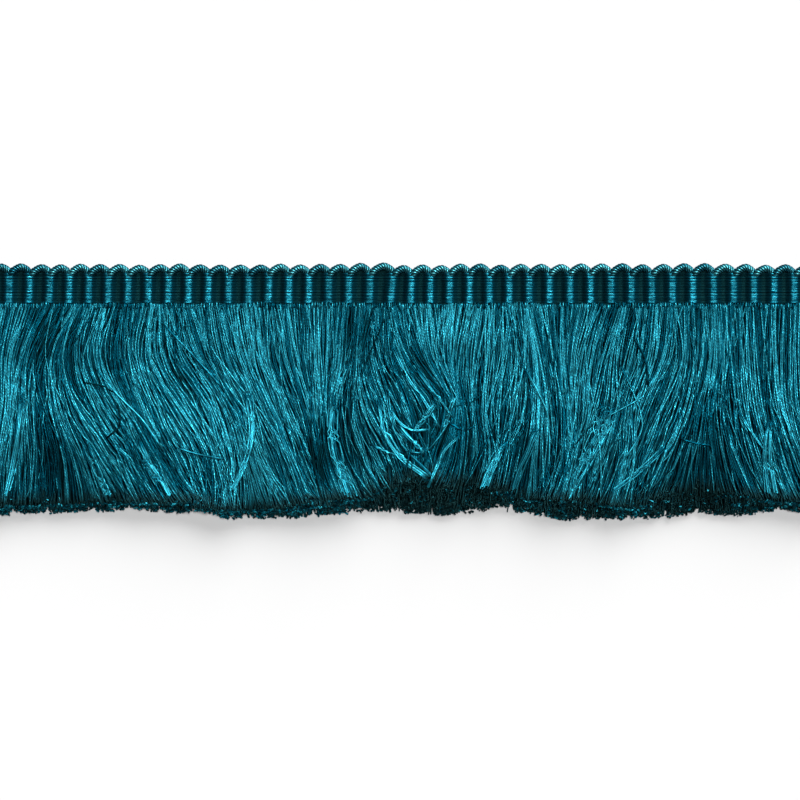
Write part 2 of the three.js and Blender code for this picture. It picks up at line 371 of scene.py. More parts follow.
def silk_group():
    """Along is in millimetres, around lies on a circle of radius 1, and turns count per millimetre."""
    colour = "NodeSocketColor"
    number = "NodeSocketFloat"
    inputs = [("deep", colour, DEEP_TEAL), ("middle", colour, TEAL), ("bright", colour, BRIGHT_TEAL)]
    inputs += [("around", "NodeSocketVector", None), ("tone", number, None), ("along", number, None)]
    inputs += [(label, number, None) for label in ("grain_depth", "twist_depth", "plies", "turns")]
    outputs = [("color", colour), ("roughness", number), ("height", number)]
    r = Recipe("silk_thread", "ShaderNodeTree", inputs, outputs)
    g = r.given
    side, top, _ = r.parts(g.around)
    place = r.vector(side, top, g.along * GRAIN_PER_MM)
    filaments = r.get("ShaderNodeTexNoise", {"Vector": place, "Scale": 1.0, "Detail": 2.0})
    grain = r.ease(filaments, 0.32, 0.68)
    angle = r.math("ARCTAN2", top, side) / FULL_TURN
    turn = g.plies * (angle + g.along * g.turns)
    twist = 0.5 - 0.5 * r.math("COSINE", turn * FULL_TURN)
    # painted shade: the colour darkens in the grooves between the plies, as well as giving relief
    light = (1.0 - g.grain_depth * (1.0 - grain)) * (1.0 - g.twist_depth * (1.0 - twist))
    low = r.blend(r.ease(g.tone, 0.0, 0.5), g.deep, g.middle, "RGBA")
    high = r.blend(r.ease(g.tone, 0.5, 1.0), low, g.bright, "RGBA")
    r.join(r.blend(light, g.deep, high, "RGBA"), r.result["Color"])
    r.join(r.ease(light, 0.0, 1.0, 0.5, 0.3), r.result["Roughness"])
    r.join(light, r.result["Height"])
    return r.tree


SILK = silk_group()


def silk_material(name, metallic, gloss=0.4, cut_ends=False, dull_deep=False, **settings):
    """A silk finish. With cut_ends, threads go near black where the stored value tip falls to nothing.
    With dull_deep, the darkest tones have no shine."""
    material, shader = new_finish(name)
    r = Recipe(tree=material.node_tree)
    silk = r.add("ShaderNodeGroup", node_tree=SILK)
    tone = r.get("ShaderNodeAttribute", output="Fac", attribute_name="tone")
    r.join(tone, silk.inputs["Tone"])
    r.join(r.get("ShaderNodeAttribute", output="Fac", attribute_name="along"), silk.inputs["Along"])
    r.join(r.get("ShaderNodeAttribute", output="Vector", attribute_name="around"), silk.inputs["Around"])
    for label, value in settings.items():
        r.join(value, silk.inputs[title(label)])
    colour = Value(r, silk.outputs["Color"])
    if cut_ends:
        tip = r.get("ShaderNodeAttribute", output="Fac", attribute_name="tip")
        # near its cut end a thread fades to the cut-end colour, partly dull fibres and partly painted shade
        colour = r.blend(tip, CUT_END_DULL_AND_SHADED, colour, "RGBA")
    height = Value(r, silk.outputs["Height"])
    relief = r.get("ShaderNodeBump", {"Height": height, "Distance": THREAD_RELIEF, "Strength": 0.5})
    r.join(colour, shader.inputs["Base Color"])
    r.join(Value(r, silk.outputs["Roughness"]), shader.inputs["Roughness"])
    r.join(relief, shader.inputs["Normal"])
    r.join(metallic * r.ease(tone, 0.0, 0.4) if dull_deep else metallic, shader.inputs["Metallic"])
    shader.inputs["Specular IOR Level"].default_value = gloss
    shader.inputs["Specular Tint"].default_value = SILK_TINT
    return material


YARN_GRAIN = {"grain_depth": 0.8, "twist_depth": 0.62, "plies": 2.0, "turns": 0.8}
TUFT_GRAIN = {"grain_depth": 0.6, "twist_depth": 0.25, "plies": 2.0, "turns": 0.8}
WARP_GRAIN = {"grain_depth": 0.5, "twist_depth": 0.0, "plies": 2.0, "turns": 0.0, "deep": VALLEY_SHADE_TEAL}
CORD_GRAIN = {"grain_depth": 0.4, "twist_depth": 0.95, "plies": 4.0, "turns": 0.0, "bright": CORD_TEAL}
yarn_silk = silk_material("yarn_silk", 0.9, cut_ends=True, **YARN_GRAIN)
tuft_silk = silk_material("tuft_silk", 0.9, **TUFT_GRAIN)
warp_silk = silk_material("warp_silk", 0.7, gloss=0.12, dull_deep=True, **WARP_GRAIN)
cord_silk = silk_material("cord_silk", 0.85, **CORD_GRAIN)
print("silk finishes:", yarn_silk.name, tuft_silk.name, warp_silk.name, cord_silk.name)

# %% [markdown]
# The heading is woven over pairs of stiff cords, which stand up as narrow ribs. They are not quite evenly
# spaced: a short table, a row for each change of spacing, says how far a rib has strayed and how much it
# leans. A closed band with the ribs' profile is the heading's body. It runs on a little way under the feet
# of the edging cord, and under each loop a small tongue of it fills the gap, as the weave's own edge does.
# Its near-black finish is a painted shade, the weave as it looks deep between the ribs and under the loops.


# %% Heading body
def chart(columns, *rows):
    """A short table, as a list of rows with each value under its column's name."""
    return [dict(zip(columns.split(), row)) for row in rows]


RIBS_MM = chart(
    "rib strayed lean",
    (-21.5, 0.0, 0.1),
    (-18, 0.3, 0.2),
    (-13, -0.15, 0.15),
    (-7, -0.25, 0.15),
    (-5, -0.25, 0.15),
    (-2, -0.4, 0.1),
    (-1, -0.25, 0.15),
    (0, 0.2, 0.6),
    (1, 0.0, 0.2),
    (3, -0.4, 0.0),
    (7, -0.6, 0.0),
    (12, -0.35, -0.05),
    (17, 0.0, 0.0),
    (21.5, 0.0, 0.0),
)
WEAVE_TOP = HEADING_TOP + 0.95 * MM
WARP_WIDTH = 0.29 * MM
BACK_WARP_WIDTH = 0.24 * MM
VALLEY = 0.5 * MM
SHOULDER_FOOT = 0.3
SHOULDER_TOP = 0.97
BAND_STEPS_PER_RIB = 24
TONGUE_REACH = 1.75 * MM
TONGUE_RISE = 0.2 * MM
EDGE_ROUNDING = 0.3 * MM
BAND_EDGES = chart(
    "side y off_back_mm crest",
    (-0.5, HEADING_FOOT, 0.1, 0.8),
    (-0.45, HEADING_FOOT + EDGE_ROUNDING, 0.0, 1.0),
    (0.45, WEAVE_TOP - EDGE_ROUNDING, 0.0, 1.0),
    (0.5, WEAVE_TOP, 0.05, 0.75),
)
WEAVE_DEEP = (0.001, 0.009, 0.011, 1)
WEAVE_LIGHT = (0.001, 0.014, 0.017, 1)
WEAVE_TINT = (0.2, 0.8, 0.9, 1)
WEAVE_GLOSS = 0.15
WEAVE_SCALE = 700.0
WEAVE_RELIEF = 0.05 * MM


def eased(rows, place, x, column):
    """A column of a table at each x, eased from row to row."""
    places = np.array([row[place] for row in rows], float)
    values = np.array([row[column] for row in rows], float)
    step = np.clip(np.searchsorted(places, x, side="right") - 1, 0, len(rows) - 2)
    share = np.clip((x - places[step]) / (places[step + 1] - places[step]), 0, 1)
    return values[step] + (values[step + 1] - values[step]) * share * share * (3 - 2 * share)


def rib_places(steps_per_rib):
    """Counts along the trim in ribs, with a whole number on each crest, and the place of each count."""
    ribs = np.linspace(-RIB_COUNT / 2, RIB_COUNT / 2, RIB_COUNT * steps_per_rib + 1)
    return ribs, ribs * RIB_PITCH + eased(RIBS_MM, "rib", ribs, "strayed") * MM


def shoulder(ribs):
    """How far up a rib each count lies: 1 on the flat crest, 0 in the valley."""
    share = np.clip((np.abs(np.cos(math.pi * ribs)) - SHOULDER_FOOT) / (SHOULDER_TOP - SHOULDER_FOOT), 0, 1)
    return share * share * (3 - 2 * share)


def closed_band(name, lines, material):
    """A closed body along the trim: lines of points, each joined to the next and the last to the first."""
    count = len(lines[0])
    ring = list(range(len(lines)))
    faces = []
    for a, b in zip(ring, ring[1:] + ring[:1]):
        for i in range(count - 1):
            faces.append((b * count + i, b * count + i + 1, a * count + i + 1, a * count + i))
    faces.append([line * count for line in ring])
    faces.append([line * count + count - 1 for line in reversed(ring)])
    mesh = bpy.data.meshes.new(name)
    mesh.from_pydata(np.concatenate(lines).tolist(), [], faces)
    mesh.materials.append(material)
    print(f"{name}: {len(faces)} faces")
    return plain_object(name, mesh)


def heading_body(material):
    ribs, xs = rib_places(BAND_STEPS_PER_RIB)
    lean = eased(RIBS_MM, "rib", ribs, "lean") * MM
    crest = VALLEY + (RIB_CREST - 0.8 * WARP_WIDTH - VALLEY) * shoulder(ribs)
    tongue = HEADING_TOP + np.abs(np.sin(math.pi * ribs)) ** 0.5 * TONGUE_REACH
    tongue = np.maximum(tongue, WEAVE_TOP + 0.1 * MM)
    level = 0 * xs
    low = []
    high = []
    for edge in BAND_EDGES:
        leaning = xs + edge["side"] * lean
        back = level + BACK_WARP_WIDTH + edge["off_back_mm"] * MM
        low.append(np.column_stack([leaning, level + edge["y"], back]))
        high.append(np.column_stack([leaning, level + edge["y"], edge["crest"] * crest]))
    low.append(np.column_stack([xs + lean / 2, tongue, level + BACK_WARP_WIDTH + 0.1 * MM]))
    high.append(np.column_stack([xs + lean / 2, tongue, level + VALLEY + TONGUE_RISE]))
    body = closed_band("heading_body", low + high[::-1], material)
    body.data.shade_smooth()
    return body


def weave_in_painted_shade():
    """The weave that shows between the ribs: fine threads across the trim, in a near-black teal that is a
    painted shade, the weave as it looks deep between the ribs and under the loops. The brush core wears it
    too.
    """
    material, shader = new_finish("weave_in_painted_shade")
    r = Recipe(tree=material.node_tree)
    place = r.get("ShaderNodeTexCoord", output="Object")
    waves = {"Vector": place, "Scale": WEAVE_SCALE, "Distortion": 1.0}
    threads = r.get("ShaderNodeTexWave", waves, 1, bands_direction="Y")
    relief = r.get("ShaderNodeBump", {"Height": threads, "Distance": WEAVE_RELIEF, "Strength": 0.6})
    r.join(r.blend(threads, WEAVE_DEEP, WEAVE_LIGHT, "RGBA"), shader.inputs["Base Color"])
    r.join(relief, shader.inputs["Normal"])
    r.join(r.ease(threads, 0.0, 1.0, 0.6, 0.8), shader.inputs["Roughness"])
    shader.inputs["Specular IOR Level"].default_value = WEAVE_GLOSS
    shader.inputs["Specular Tint"].default_value = WEAVE_TINT
    return material


painted_shade_finish = weave_in_painted_shade()
body = heading_body(painted_shade_finish)

# %% [markdown]
# Warp threads run along the trim and ride over every rib. They hide the cords and shine on each crest in a
# narrow stripe. The stripe is partly real gloss on the crest and partly a painted highlight, a bright tone
# stored on the crest; the valleys take a painted shade, a near-black tone with little metallic shine that is
# a little lighter on the flanks. Each thread is a line that follows the ribs' profile; a Geometry Nodes tree
# repeats it up the band and lets each one waver a little, which makes the stripe's edges as ragged as the
# real ones. A plainer set covers the back.

# %% Warp threads
PER_MM = 1000.0
FRONT_STRIPE = (0.7, 0.96)
BACK_STRIPE = (-0.5, 0.5)
STRIPE_TONE = 0.69
STRIPE_UNEVEN = 0.22
STRIPE_RAGGED = 0.08
THREAD_SIDES = 4


def warp_recipe():
    real = "low_edge high_edge thread_width waver stripe_low stripe_high"
    r = geometry_recipe("warp_over_ribs", "threads", real)
    g = r.given
    line = r.get("GeometryNodeMeshToCurve", {"Mesh": g.geometry})
    many, thread = r.copies(line, g.threads)
    at_x, _, at_z = r.parts(r.here())
    rib = r.stored("rib")
    share = (thread + r.chance(thread, 1, 0.3, 0.7)) / g.threads
    wander = g.waver * r.noise(thread * 3.7, rib * 2.3)
    x = at_x + (wander + r.stored("lean") * (share - 0.5))
    y = g.low_edge + (g.high_edge - g.low_edge) * share
    z = at_z + g.thread_width * 0.3 * r.noise(thread * 5.1, rib * 2.9)
    moved = r.move(many, r.vector(x, y, z))
    bare = r.math("ABSOLUTE", r.math("COSINE", rib * math.pi))
    own = STRIPE_TONE + STRIPE_UNEVEN * r.noise(rib * 3.3, thread * 2.3)
    edge = bare + STRIPE_RAGGED * r.noise(thread * 7.9, rib * 5.3)
    # painted highlight: a bright tone on each crest; painted shade: a near-black tone in the valleys, a
    # little lighter on the flanks
    painted_crest_highlight = own * r.ease(edge, g.stripe_low, g.stripe_high)
    toned = r.keep(moved, "tone", r.math("MAXIMUM", painted_crest_highlight, r.ease(bare, 0.1, 0.5, 0.02, 0.17)))
    toned = r.keep(toned, "along", at_x * PER_MM)
    r.spin(toned, g.thread_width * r.chance(thread, 3, 0.42, 0.56), THREAD_SIDES)
    return r


def store(mesh, name, values):
    """Keeps a number on each point of a mesh."""
    mesh.attributes.new(name, "FLOAT", "POINT").data.foreach_set("value", np.asarray(values, np.float32))


def warp_line(steps_per_rib, crest, valley):
    ribs, xs = rib_places(steps_per_rib)
    heights = valley + (crest - valley) * shoulder(ribs)
    mesh = bpy.data.meshes.new("warp_line")
    mesh.from_pydata(list(zip(xs, 0 * xs, heights)), [(i, i + 1) for i in range(len(xs) - 1)], [])
    store(mesh, "rib", ribs)
    store(mesh, "lean", eased(RIBS_MM, "rib", ribs, "lean") * MM)
    return mesh


def warp_threads(name, line, threads, top, width, stripe, seed):
    return made_by(
        name,
        warp,
        line,
        threads=threads,
        low_edge=HEADING_FOOT,
        high_edge=top,
        thread_width=width,
        waver=0.1 * MM,
        stripe_low=stripe[0],
        stripe_high=stripe[1],
        seed=seed,
        material=warp_silk,
    )


warp = warp_recipe()
front_line = warp_line(18, RIB_CREST - WARP_WIDTH / 2, VALLEY + WARP_WIDTH / 2)
front_warp = warp_threads("warp_front", front_line, 20, WEAVE_TOP, WARP_WIDTH, FRONT_STRIPE, seed=11)
back_line = warp_line(1, 0.85 * BACK_WARP_WIDTH, 0.85 * BACK_WARP_WIDTH)
back_warp = warp_threads("warp_back", back_line, 24, HEADING_TOP, BACK_WARP_WIDTH, BACK_STRIPE, seed=12)

# %% [markdown]
# The edging is a gimp cord: silk wound round a core in a steep spiral. It loops from each rib to the next,
# in front at its left end and behind at its right. One short route is charted in millimetres; the
# tree repeats it between each pair of ribs, gives each loop its own slight set, and turns a lobed section
# along it. The silk's tone is darkened on the outer rim and the sides, by the way the surface faces there: a
# painted shade where the cord turns from the eye.

# %% Looped cord
CORD_WIDTH = 1.52 * MM
CORD_LAY = 1.95 * MM
CORD_STARTS = 4
CORD_GROOVE = 0.35
CORD_SIDES = 20
CORD_TONE = (0.7, 0.92)
CORD_PATCHY = 0.22
LOOP_ROUTE_MM = chart(
    "along up front",
    (0.2, 0.6, 1.1),
    (0.5, 0.95, 1.7),
    (1.1, 1.43, 1.8),
    (2.25, 1.92, 1.6),
    (3.2, 1.56, 1.25),
    (3.75, 1.05, 1.0),
    (3.95, 0.5, 0.95),
)


def loop_recipe():
    r = geometry_recipe("looped_cord", "loops first_crest steps starts", "pitch foot width lay groove")
    g = r.given
    many, loop = r.copies(r.smooth_route(g.steps), g.loops)
    here = r.here()
    at = r.parts(here)
    crests = []
    for step in (0, 1):
        found = {"Geometry": g.geometry, "Value": here, "Index": loop + g.first_crest + step}
        crest = r.get("GeometryNodeSampleIndex", found, data_type="FLOAT_VECTOR", domain="POINT")
        crests.append(r.parts(crest)[0])
    gap = crests[1] - crests[0]
    x = crests[0] + at[0] / g.pitch * r.chance(loop, 1, 0.98, 1.02) * gap
    x = x + r.chance(loop, 2, -0.08 * MM, 0.08 * MM)
    y = g.foot + at[1] * (gap / g.pitch) * r.chance(loop, 3, 0.94, 1.08)
    y = y + r.chance(loop, 4, -0.05 * MM, 0.08 * MM)
    z = at[2] + r.chance(loop, 5, -0.1 * MM, 0.1 * MM)
    moved = r.move(many, r.vector(x, y, z))
    distance = r.on_curve("Length")
    turn = distance / g.lay * FULL_TURN + r.chance(loop, 6, 0.0, 6.3)
    turned = r.get("GeometryNodeSetCurveTilt", {"Curve": moved, "Tilt": turn})
    patch = r.noise(loop * 7.7, distance * 1400.0)
    toned = r.keep(turned, "tone", r.chance(loop, 7, *CORD_TONE) + CORD_PATCHY * patch)
    toned = r.keep(toned, "along", distance * PER_MM + loop * 10.0)
    ring = r.circle(CORD_SIDES)
    lobe = r.math("ABSOLUTE", r.math("SINE", r.on_curve("Factor") * math.pi * g.starts))
    size = 1.0 - g.groove + g.groove * r.math("SQRT", lobe)
    ring = r.move(ring, r.get("ShaderNodeVectorMath", {0: r.here(), "Scale": size}, operation="SCALE"))
    wound = r.sweep(toned, ring, g.width * 0.5)
    normal = r.parts(r.get("GeometryNodeInputNormal"))
    # painted shade: the tone drops where the surface faces sideways or towards the top of the picture, on
    # each loop's outer rim
    facing_for_painted_shade = normal[2] - 0.4 * normal[1]
    r.finish(r.keep(wound, "tone", r.stored("tone") * r.ease(facing_for_painted_shade, 0.1, 0.75, 0.45, 1.0)))
    return r


def route_mesh(name, routes, loose_points=(), **columns):
    """Routes as chains of edges, then loose points. Each named column has one value for each route."""
    points = [p for route in routes for p in route] + list(loose_points)
    edges = []
    first = 0
    for route in routes:
        edges += [(first + i, first + i + 1) for i in range(len(route) - 1)]
        first += len(route)
    mesh = bpy.data.meshes.new(name)
    mesh.from_pydata(points, edges, [])
    for label, values in columns.items():
        spread = [value for route, value in zip(routes, values) for _ in route]
        store(mesh, label, spread + [0.0] * len(loose_points))
    return mesh


def rib_crests():
    """The top of each rib's crest, from one end of the trim to the other."""
    ribs = np.arange(RIB_COUNT) - (RIB_COUNT - 1) / 2
    top_lean = eased(RIBS_MM, "rib", ribs, "lean") / 2
    xs = ribs * RIB_PITCH + (eased(RIBS_MM, "rib", ribs, "strayed") + top_lean) * MM
    return [(x, HEADING_TOP, 0.0) for x in xs]


loop_route = [(p["along"] * MM, p["up"] * MM, p["front"] * MM) for p in LOOP_ROUTE_MM]
loops = made_by(
    "scallop_loops",
    loop_recipe(),
    route_mesh("loop_route", [loop_route], rib_crests()),
    loops=RIB_COUNT - 1,
    first_crest=len(LOOP_ROUTE_MM),
    steps=48,
    pitch=RIB_PITCH,
    foot=HEADING_TOP,
    width=CORD_WIDTH,
    lay=CORD_LAY,
    starts=CORD_STARTS,
    groove=CORD_GROOVE,
    seed=21,
    material=cord_silk,
)

# %% [markdown]
# The brush is thousands of loose yarns that fall from the heading in sweeps. Two guide sheets say how they
# lie, one over the top of the brush and one on the table. Their sweep is charted, a row for each
# fold: the place that a yarn passes half way down, and how far to the side its root, its end and the points
# between lie from there. Darker and brighter swaths are charted too, a painted shade and a painted sheen that
# are added to the yarns' tone, and so is the cut line, with the width of the dark band above it and small
# notches between the cut tufts. The yarns are grown between the sheets.

# %% How the fringe lies
SWEEP_MM = chart(
    "middle root quarter most end",
    (-88, 1, 0.5, -1, -1.5),
    (-77.5, 2, 0, -2, -4),
    (-74, 5, 1, -1.5, -3),
    (-71, 6, 0.5, 0.5, 0),
    (-68, 5, 0, 2.5, 2.5),
    (-64.5, 2.5, -1.5, 5, 9),
    (-61.5, -0.5, -3, 7, 13.5),
    (-55, -2.5, -5, 6.5, 13),
    (-49, -2, -3.5, 5.5, 11.5),
    (-42.5, -4.5, -5.5, 6, 10),
    (-36, -9, -6.5, 4, 5),
    (-33, -9.5, -6.5, 3, 2.5),
    (-30, -9.5, -6.5, 3.5, 8.5),
    (-26.5, -8, -5.5, 5.5, 10.5),
    (-20.5, -5.5, -4, 3.5, 7.5),
    (-17, -6, -4, 3, 6),
    (-14, -2.5, -1.5, 2, 6),
    (-11, 5, 3, 1, 6.5),
    (-7.5, 2, 0.5, 3, 8.5),
    (-4.5, -1, -2.5, 6, 11),
    (-1.5, -3.5, -4, 6.5, 8.5),
    (2, -5, -4.5, 5.5, 5),
    (5, -7.5, -6, 2.5, 2),
    (8, -9.5, -7, -0.5, -1),
    (11.5, -11, -7.5, -3, -4.5),
    (14.5, 1.5, -0.5, -1, -6),
    (17.5, 1.5, 0.5, 1, -2),
    (21, 2, 2, -0.5, -4),
    (24, 1.5, 2, -2.5, -7),
    (27, -1, 0, -3.5, -7.5),
    (30.5, -2.5, -0.5, 0.5, 1),
    (33.5, -3.5, -2, 0.5, -1),
    (36.5, 3.5, 0.5, -1, -4),
    (40, 5, 2, -4, -7),
    (43, 4.5, 1.5, -4, -9.5),
    (46, 5.5, 4, -1.5, -5),
    (49.5, 7, 5, -3, -7),
    (52.5, 4.5, 4.5, -5, -9.5),
    (57, 2.5, 2.5, -5, -11),
    (59.5, 2.5, 2, -4.5, -10.5),
    (62, 3, 2.5, -2, -3),
    (65, 1, 1, 2.5, 7),
    (71.5, -1.5, -1, 3, 7.5),
    (78, 0, -0.5, 3.5, 8),
    (88, 0, 0, 1, 1.5),
)
# painted shade and painted sheen: each swath makes the yarns' tone darker or lighter where it lies
SWATHS = chart(
    "at_mm down wide_mm long lighter",
    (-74, 0.05, 4.0, 0.1, 0.15),
    (-73, 0.6, 5.0, 0.25, 0.15),
    (-68, 0.12, 4.5, 0.18, -0.45),
    (-66, 0.76, 3.0, 0.15, -0.35),
    (-57, 0.08, 3.0, 0.12, 0.15),
    (-57, 0.84, 3.0, 0.1, 0.2),
    (-50, 0.36, 3.0, 0.08, 0.2),
    (-50, 0.7, 3.0, 0.08, -0.25),
    (-42.5, 0.37, 3.0, 0.1, -0.35),
    (-42, 0.62, 3.0, 0.1, 0.25),
    (-29, 0.12, 8.0, 0.15, 0.2),
    (-26, 0.85, 4.5, 0.2, 0.65),
    (-22, 0.7, 3.0, 0.1, -0.15),
    (-18, 0.5, 3.0, 0.1, 0.15),
    (-12.6, 0.76, 1.6, 0.18, -1.1),
    (-10, 0.3, 3.0, 0.1, 0.15),
    (-6, 0.15, 3.5, 0.18, -0.3),
    (-2, 0.86, 3.0, 0.1, 0.6),
    (4, 0.32, 3.5, 0.1, -0.35),
    (9.5, 0.93, 8.5, 0.1, -0.6),
    (10, 0.6, 6.5, 0.2, -0.4),
    (11, 0.06, 8.0, 0.12, 0.3),
    (22, 0.25, 4.0, 0.2, 0.2),
    (21.5, 0.68, 3.0, 0.1, -0.2),
    (30, 0.62, 3.0, 0.1, 0.2),
    (37, 0.3, 3.5, 0.2, 0.2),
    (45, 0.05, 4.0, 0.08, -0.2),
    (25, 0.88, 4.0, 0.1, 0.25),
    (54, 0.3, 5.0, 0.12, 0.1),
    (61, 0.03, 4.0, 0.1, -0.3),
    (62, 0.55, 3.5, 0.15, -0.35),
    (62.5, 0.85, 4.5, 0.12, -0.35),
    (69, 0.45, 3.5, 0.15, 0.25),
    (77, 0.85, 4.0, 0.1, 0.25),
)
CUT_LINE_MM = chart(
    "at length band",
    (-86, 41.4, 1.6),
    (-70, 40.9, 1.6),
    (-57, 40.4, 1.4),
    (-51, 39.8, 1.5),
    (-45, 41.0, 1.7),
    (-38, 40.0, 1.3),
    (-33, 41.8, 1.4),
    (-22, 41.8, 1.6),
    (-4, 40.5, 2.6),
    (2, 40.8, 6.0),
    (9, 41.2, 7.0),
    (17, 40.6, 5.2),
    (22, 39.4, 2.6),
    (27, 41.0, 2.6),
    (36, 42.2, 3.8),
    (43, 42.0, 2.4),
    (53, 41.9, 4.4),
    (61, 40.7, 4.8),
    (68, 41.7, 4.2),
    (78, 40.3, 1.6),
    (86, 40.9, 1.6),
)
HEIGHTS_MM = chart(
    "down top",
    (0.0, 2.2),
    (0.03, 2.65),
    (0.12, 3.1),
    (0.35, 4.6),
    (0.65, 5.4),
    (0.85, 5.1),
    (0.94, 5.0),
    (1.0, 4.7),
)
UNDER_HEIGHT_MM = 0.26
NOTCH_DEPTH_MM = 1.7
LONGEST = 1.017
UNDER_SWEEP = 0.35
END_SPREAD = 0.6
YARN_LENGTH = 41 * MM
SHEET_COLUMNS = 500
SHEET_ROWS = 33


def drift(middles_mm, down):
    """How far to the side of its middle a yarn lies, in millimetres, smooth between the charted values."""
    charted = [eased(SWEEP_MM, "middle", middles_mm, column) for column in ("root", "quarter", "most", "end")]
    knots = [*charted[:2], 0 * middles_mm, *charted[2:]]
    knots = [2 * knots[0] - knots[1], *knots, 2 * knots[-1] - knots[-2]]
    place = min(down, 0.9999) * 4
    step = int(place)
    t = place - step
    a, b, c, d = knots[step : step + 4]
    return 0.5 * (2 * b + (c - a) * t + (2 * a - 5 * b + 4 * c - d) * t**2 + (3 * b - a - 3 * c + d) * t**3)


def sheet_middles():
    """Middles for the sheets' columns, closer together where the yarns fan out above or below."""
    fine = np.linspace(-0.5, 0.5, 2000) * LENGTH / MM
    levels = ((0, 1), (0.5, 1), (1, END_SPREAD))
    fan = [np.gradient(fine + drift(fine, down)) * share for down, share in levels]
    run = np.cumsum(np.maximum.reduce(np.abs(fan)))
    return np.interp(np.linspace(run[0], run[-1], SHEET_COLUMNS), run, fine)


def cut_length(xs):
    """How long the longest yarns are at each x, in millimetres, with small notches between the cut tufts."""
    wave = np.sin(1.9 * xs) + np.sin(0.83 * xs + 1.0) + 0.6 * np.sin(3.7 * xs + 2.0)
    return eased(CUT_LINE_MM, "at", xs, "length") - NOTCH_DEPTH_MM * np.clip((wave - 1.1) / 0.6, 0, 1)


def swath_shade(xs, down):
    """How much lighter or darker the charted swaths make the yarns here."""
    shade = 0 * xs
    for swath in SWATHS:
        away = ((xs - swath["at_mm"]) / swath["wide_mm"]) ** 2 + ((down - swath["down"]) / swath["long"]) ** 2
        shade = shade + swath["lighter"] * np.exp(-away)
    return shade


def guide_sheets():
    """One grid: its points lie on the top sheet, and each also stores its twin on the table."""
    middles = sheet_middles()
    level = 0 * middles
    across = np.linspace(0, 1, SHEET_COLUMNS)
    own_step = (middles[-1] - middles[0]) / (SHEET_COLUMNS - 1)
    top, under, uv, shades, bands = [], [], [], [], []
    for down in np.linspace(0, 1, SHEET_ROWS):
        sideways = drift(middles, down)
        x_top = middles + sideways
        # the brush stands higher where its yarns crowd, and lower where they part
        crowding = np.gradient(x_top) / own_step
        pile = np.clip(0.9 * (0.8 - crowding), -1.4, 0.7) * math.sin(math.pi * min(down, 0.8) / 1.6)
        z_top = eased(HEIGHTS_MM, "down", level + down, "top") + pile
        x_under = middles + UNDER_SWEEP * sideways
        for xs, zs, sheet in ((x_top, z_top, top), (x_under, level + UNDER_HEIGHT_MM, under)):
            ys = FRINGE_TOP / MM - down * LONGEST * cut_length(xs)
            sheet.append(np.column_stack([xs, ys, zs]) * MM)
        uv.append(np.column_stack([across, level + down]))
        shades.append(swath_shade(x_top, down))
        bands.append(eased(CUT_LINE_MM, "at", x_top, "band") * MM)
    faces = []
    for row in range(SHEET_ROWS - 1):
        for i in range(SHEET_COLUMNS - 1):
            a = row * SHEET_COLUMNS + i
            faces.append((a, a + 1, a + SHEET_COLUMNS + 1, a + SHEET_COLUMNS))
    mesh = bpy.data.meshes.new("guide_sheets")
    mesh.from_pydata(np.concatenate(top).tolist(), [], faces)
    twins = mesh.attributes.new("under", "FLOAT_VECTOR", "POINT")
    twins.data.foreach_set("vector", np.concatenate(under).ravel())
    store(mesh, "shade", np.concatenate(shades))
    store(mesh, "band", np.concatenate(bands))
    flat = mesh.attributes.new("sheet_uv", "FLOAT2", "CORNER")
    corners = np.empty(len(mesh.loops), dtype=np.int32)
    mesh.loops.foreach_get("vertex_index", corners)
    flat.data.foreach_set("vector", np.concatenate(uv)[corners].ravel())
    return mesh


sheets = guide_sheets()
print(f"guide sheets: {SHEET_COLUMNS} places across, {SHEET_ROWS} down")

# %% [markdown]
# Each yarn takes a place across the sheets and a depth between them, then follows the sheets down. Yarns of
# one lock draw together towards their ends, and each one wavers by a smooth noise, a few of them widely.
# Upper yarns stop short of the lower ones, so the cut face slants and shows from above as a dark ragged
# edge. Near its end each yarn fades to a near-black cut-end colour, partly the dull cut fibres and partly a
# painted shade for the cut face, which turns from the light. Deep yarns lie in the others' shade, so they
# take a darker tone, and more of their length counts as cut end.

# %% Yarns
BAND_READ_AT = 0.9
LONGEST_FALL = 0.999
UNEVEN_CUT = 0.4
DEPTH_BOB = 0.035
ROOT_GROUP = 2.3 * MM
QUIET_END = 0.06


def on_sheet(r, name, across, fall, kind="FLOAT"):
    """What the guide sheets keep under a name, at a place across and down them."""
    value = r.here() if name == "position" else r.stored(name, kind)
    flat = r.stored("sheet_uv", "FLOAT_VECTOR")
    inputs = {"Mesh": r.given.geometry, 1: value, 2: flat, 3: r.vector(across, fall, 0.0)}
    return r.get("GeometryNodeSampleUVSurface", inputs, data_type=kind)


def between_sheets(r, across, fall, depth):
    """The x, y and z of a place between the sheets. Lower yarns keep nearer to the lower sheet's sweep."""
    above = on_sheet(r, "position", across, fall, "FLOAT_VECTOR")
    below = on_sheet(r, "under", across, fall, "FLOAT_VECTOR")
    _, y, z = r.parts(r.blend(depth, below, above, "VECTOR"))
    x = r.blend(r.math("POWER", depth, 4.0), r.parts(below)[0], r.parts(above)[0])
    return x, y, z


def cut_face(r, across, layer):
    """How far short of the longest yarns the cut face lies at this layer, as a share of their length."""
    uneven = 1.0 + UNEVEN_CUT * r.noise(across * 34.0, layer)
    band = on_sheet(r, "band", across, BAND_READ_AT) / YARN_LENGTH
    return band * r.ease(layer, 0.15, 1.0) * uneven


